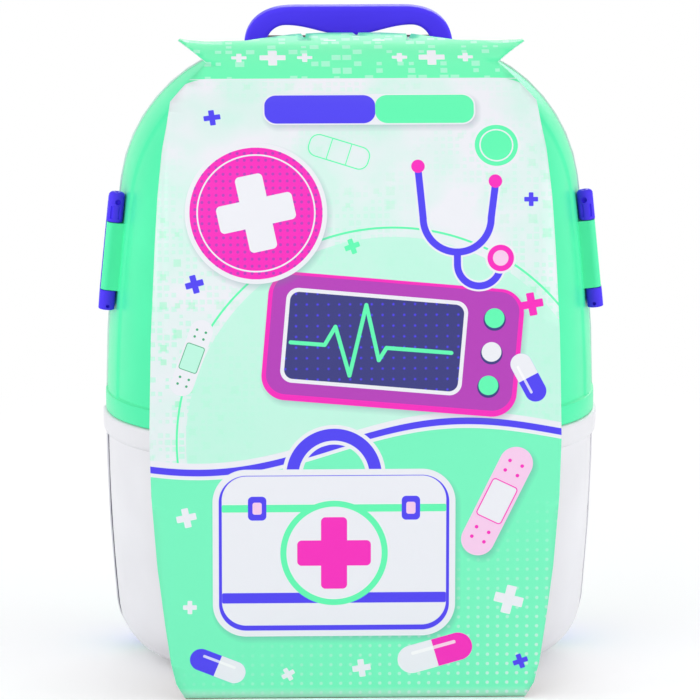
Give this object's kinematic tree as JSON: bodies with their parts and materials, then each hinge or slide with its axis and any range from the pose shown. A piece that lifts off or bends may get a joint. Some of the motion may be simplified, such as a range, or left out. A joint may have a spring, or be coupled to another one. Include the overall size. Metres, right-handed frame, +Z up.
{
  "type": "toy doctor case",
  "caption": "Toy doctor trolley case with domed hinged lid, side latches, carry and pull handles, wheels, and an inner station with play instruments, in a card wrap",
  "frame": {"origin": "on the floor under the middle of the case", "axes": "+Z up, the front with the card wrap faces -Y, +X is to the right seen from the front"},
  "size_m": [0.3348, 0.206, 0.437],
  "materials": {
    "white_plastic": "moulded white plastic, fine gloss",
    "mint_plastic": "moulded mint green plastic, glossy",
    "violet_plastic": "moulded blue violet plastic, glossy",
    "magenta_plastic": "moulded magenta plastic, glossy",
    "lavender_plastic": "lavender plastic tread",
    "rod_plastic": "pale grey tube",
    "steel": "plated steel pin",
    "printed_panel": "printed sticker",
    "film": "printed plastic film",
    "printed_card": "coated white-faced card, printed outside, brown inside"
  },
  "bodies": {
    "case": {"back_shell": "white_plastic", "front_tub": "white_plastic", "tub_panel": "printed_panel", "hinge_pin_left": "steel", "hinge_pin_right": "steel", "carry_handle": "violet_plastic", "pull_guide_left": "white_plastic", "pull_guide_right": "white_plastic", "wheel_housing_left": "mint_plastic", "wheel_housing_right": "mint_plastic", "axle": "steel", "front_feet": "violet_plastic", "case_screws": "steel", "tray": "mint_plastic", "back_board": "mint_plastic", "board_panel": "printed_panel", "basket": "white_plastic", "light_box": "magenta_plastic", "light_box_films": "film", "monitor": "magenta_plastic", "monitor_screen": "film", "syringe_barrel": "violet_plastic", "scissor_blade_left": "violet_plastic", "scissor_rivet": "white_plastic", "forceps": "violet_plastic", "thermometer": "white_plastic", "hammer": "magenta_plastic", "sleeve_back": "printed_card", "sleeve_bottom": "printed_card"},
    "lid": {"lid": "mint_plastic", "lid_badge": "violet_plastic", "latch_pin_left": "steel", "latch_pin_right": "steel", "sleeve_front": "printed_card"},
    "latch_left": {"latch_left": "violet_plastic", "latch_panel_left": "printed_panel"},
    "latch_right": {"latch_right": "violet_plastic", "latch_panel_right": "printed_panel"},
    "pull_handle": {"pull_rod_left": "rod_plastic", "pull_rod_right": "rod_plastic", "pull_grip": "mint_plastic"},
    "wheel_left": {"wheel_left": "lavender_plastic", "wheel_hub_left": "violet_plastic"},
    "wheel_right": {"wheel_right": "lavender_plastic", "wheel_hub_right": "violet_plastic"},
    "syringe_plunger": {"syringe_plunger": "magenta_plastic"},
    "scissor_blade_right": {"scissor_blade_right": "violet_plastic"}
  },
  "joints": [
    {"name": "lid_hinge", "type": "hinge", "parent": "case", "child": "lid", "pos_m": [0, 0.03, 0.4155], "axis": [-1, 0, 0], "range_deg": [0, 95]},
    {"name": "latch_left_swing", "type": "hinge", "parent": "lid", "child": "latch_left", "pos_m": [-0.15813, -0.004, 0.283], "axis": [0.1002, 0, 0.995], "range_deg": [0, 100]},
    {"name": "latch_right_swing", "type": "hinge", "parent": "lid", "child": "latch_right", "pos_m": [0.15813, -0.004, 0.283], "axis": [0.1002, 0, -0.995], "range_deg": [0, 100]},
    {"name": "pull_handle_slide", "type": "slide", "parent": "case", "child": "pull_handle", "axis": [0, 0, 1], "range_m": [0, 0.2]},
    {"name": "wheel_left_spin", "type": "hinge", "parent": "case", "child": "wheel_left", "pos_m": [-0.126, 0.076, 0.026], "axis": [1, 0, 0], "continuous": true},
    {"name": "wheel_right_spin", "type": "hinge", "parent": "case", "child": "wheel_right", "pos_m": [0.126, 0.076, 0.026], "axis": [1, 0, 0], "continuous": true},
    {"name": "plunger_slide", "type": "slide", "parent": "case", "child": "syringe_plunger", "axis": [-1, 0, 0], "range_m": [-0.026, 0.02]},
    {"name": "scissor_pivot", "type": "hinge", "parent": "case", "child": "scissor_blade_right", "pos_m": [-0.086, 0.0538, 0.238], "axis": [0, 1, 0], "range_deg": [-22, 5]}
  ]
}
